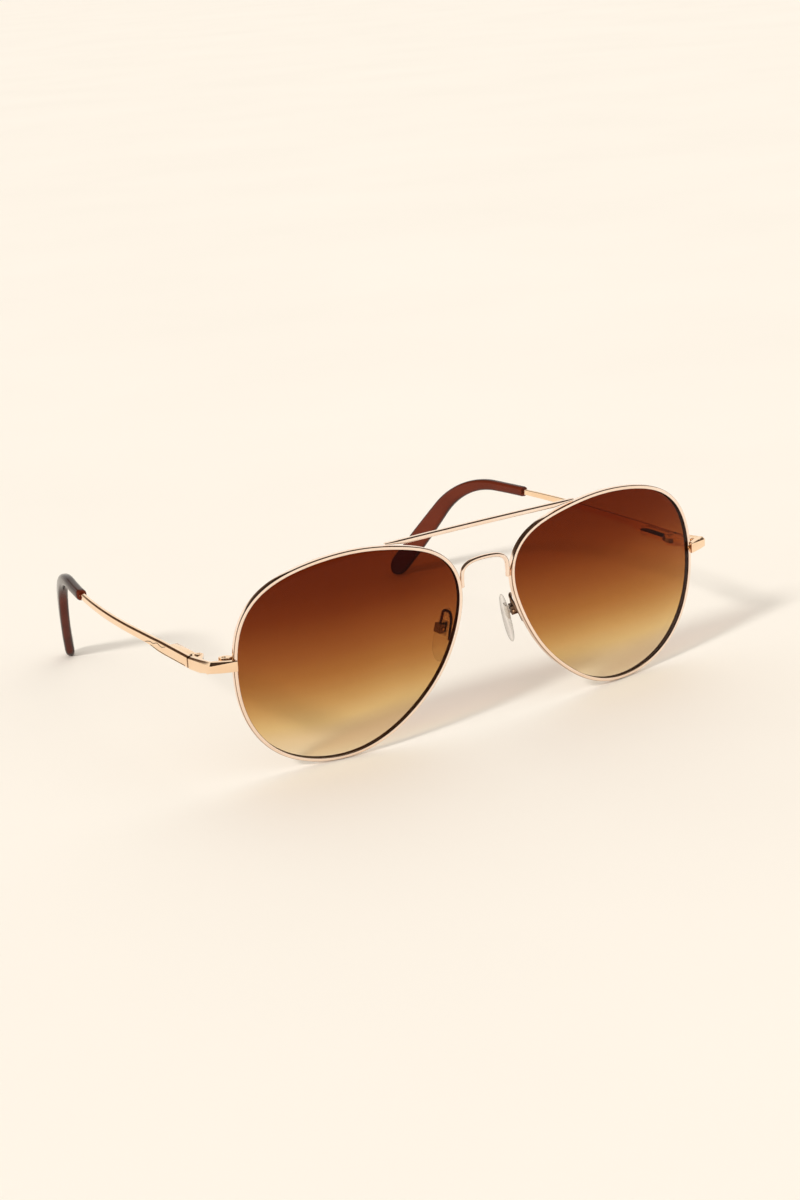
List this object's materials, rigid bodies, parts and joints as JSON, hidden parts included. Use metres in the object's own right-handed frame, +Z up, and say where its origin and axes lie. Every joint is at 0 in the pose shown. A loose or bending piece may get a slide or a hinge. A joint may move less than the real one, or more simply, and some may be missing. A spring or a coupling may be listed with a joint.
{
  "type": "aviator sunglasses",
  "caption": "Metal aviator sunglasses with graduated brown lenses, a straight top bar over a wire bridge, clear nose pads on arms, sprung hinges and dark acetate temple tips.",
  "frame": {"origin": "middle of the bounding box, on the plane that the open glasses stand on with their rims and temple tips", "axes": "+X to the wearer's left, -Y the way the lenses face, +Z up"},
  "size_m": [0.145, 0.1346, 0.0509],
  "materials": {
    "rose_gold": "polished rose-gold plating",
    "screw_metal": "satin plated steel",
    "spring_steel": "bare spring steel",
    "core_metal": "bright nickel alloy",
    "lens_tint": "polished, graduated brown tint",
    "tip_plastic": "polished dark red-brown acetate",
    "pad_silicone": "clear smooth silicone"
  },
  "bodies": {
    "front": {"bridge": "rose_gold", "top_bar": "rose_gold", "rim_left": "rose_gold", "lens_left": "lens_tint", "rim_lug_upper_left": "rose_gold", "rim_lug_lower_left": "rose_gold", "rim_lock_screw_left": "screw_metal", "endpiece_left": "rose_gold", "hinge_leaf_left": "rose_gold", "hinge_screw_left": "screw_metal", "pad_box_left": "rose_gold", "pad_screw_left": "screw_metal", "pad_arm_left": "rose_gold", "rim_right": "rose_gold", "lens_right": "lens_tint", "rim_lug_upper_right": "rose_gold", "rim_lug_lower_right": "rose_gold", "rim_lock_screw_right": "screw_metal", "endpiece_right": "rose_gold", "hinge_leaf_right": "rose_gold", "hinge_screw_right": "screw_metal", "pad_box_right": "rose_gold", "pad_screw_right": "screw_metal", "pad_arm_right": "rose_gold"},
    "left_hinge_slider": {"hinge_slider_left": "spring_steel", "slider_nut_left": "spring_steel"},
    "left_temple": {"spring_case_left": "rose_gold", "hinge_spring_left": "spring_steel", "temple_left": "rose_gold", "temple_tip_left": "tip_plastic"},
    "left_nose_pad": {"nose_pad_left": "pad_silicone", "pad_core_left": "core_metal"},
    "right_hinge_slider": {"hinge_slider_right": "spring_steel", "slider_nut_right": "spring_steel"},
    "right_temple": {"spring_case_right": "rose_gold", "hinge_spring_right": "spring_steel", "temple_right": "rose_gold", "temple_tip_right": "tip_plastic"},
    "right_nose_pad": {"nose_pad_right": "pad_silicone", "pad_core_right": "core_metal"}
  },
  "joints": [
    {"name": "left_temple_fold", "type": "hinge", "parent": "front", "child": "left_hinge_slider", "pos_m": [0.06965, -0.04808, 0.02816], "axis": [0, -0.0346, 0.9994], "range_deg": [0, 88]},
    {"name": "left_temple_spring", "type": "slide", "parent": "left_hinge_slider", "child": "left_temple", "axis": [0, 0.9994, 0.0346], "range_m": [0, 0.0007], "stiffness_N_per_m": 1000, "springref_m": -0.004, "deforming": ["hinge_spring_left"]},
    {"name": "left_nose_pad_rock", "type": "hinge", "parent": "front", "child": "left_nose_pad", "pos_m": [0.01061, -0.06032, 0.02506], "axis": [-0.2561, -0.947, -0.1937], "range_deg": [-8, 8]},
    {"name": "right_temple_fold", "type": "hinge", "parent": "front", "child": "right_hinge_slider", "pos_m": [-0.06965, -0.04808, 0.02816], "axis": [0, 0.0346, -0.9994], "range_deg": [0, 80]},
    {"name": "right_temple_spring", "type": "slide", "parent": "right_hinge_slider", "child": "right_temple", "axis": [0, 0.9994, 0.0346], "range_m": [0, 0.0007], "stiffness_N_per_m": 1000, "springref_m": -0.004, "deforming": ["hinge_spring_right"]},
    {"name": "right_nose_pad_rock", "type": "hinge", "parent": "front", "child": "right_nose_pad", "pos_m": [-0.01061, -0.06032, 0.02506], "axis": [0.2561, -0.947, -0.1937], "range_deg": [-8, 8]}
  ]
}
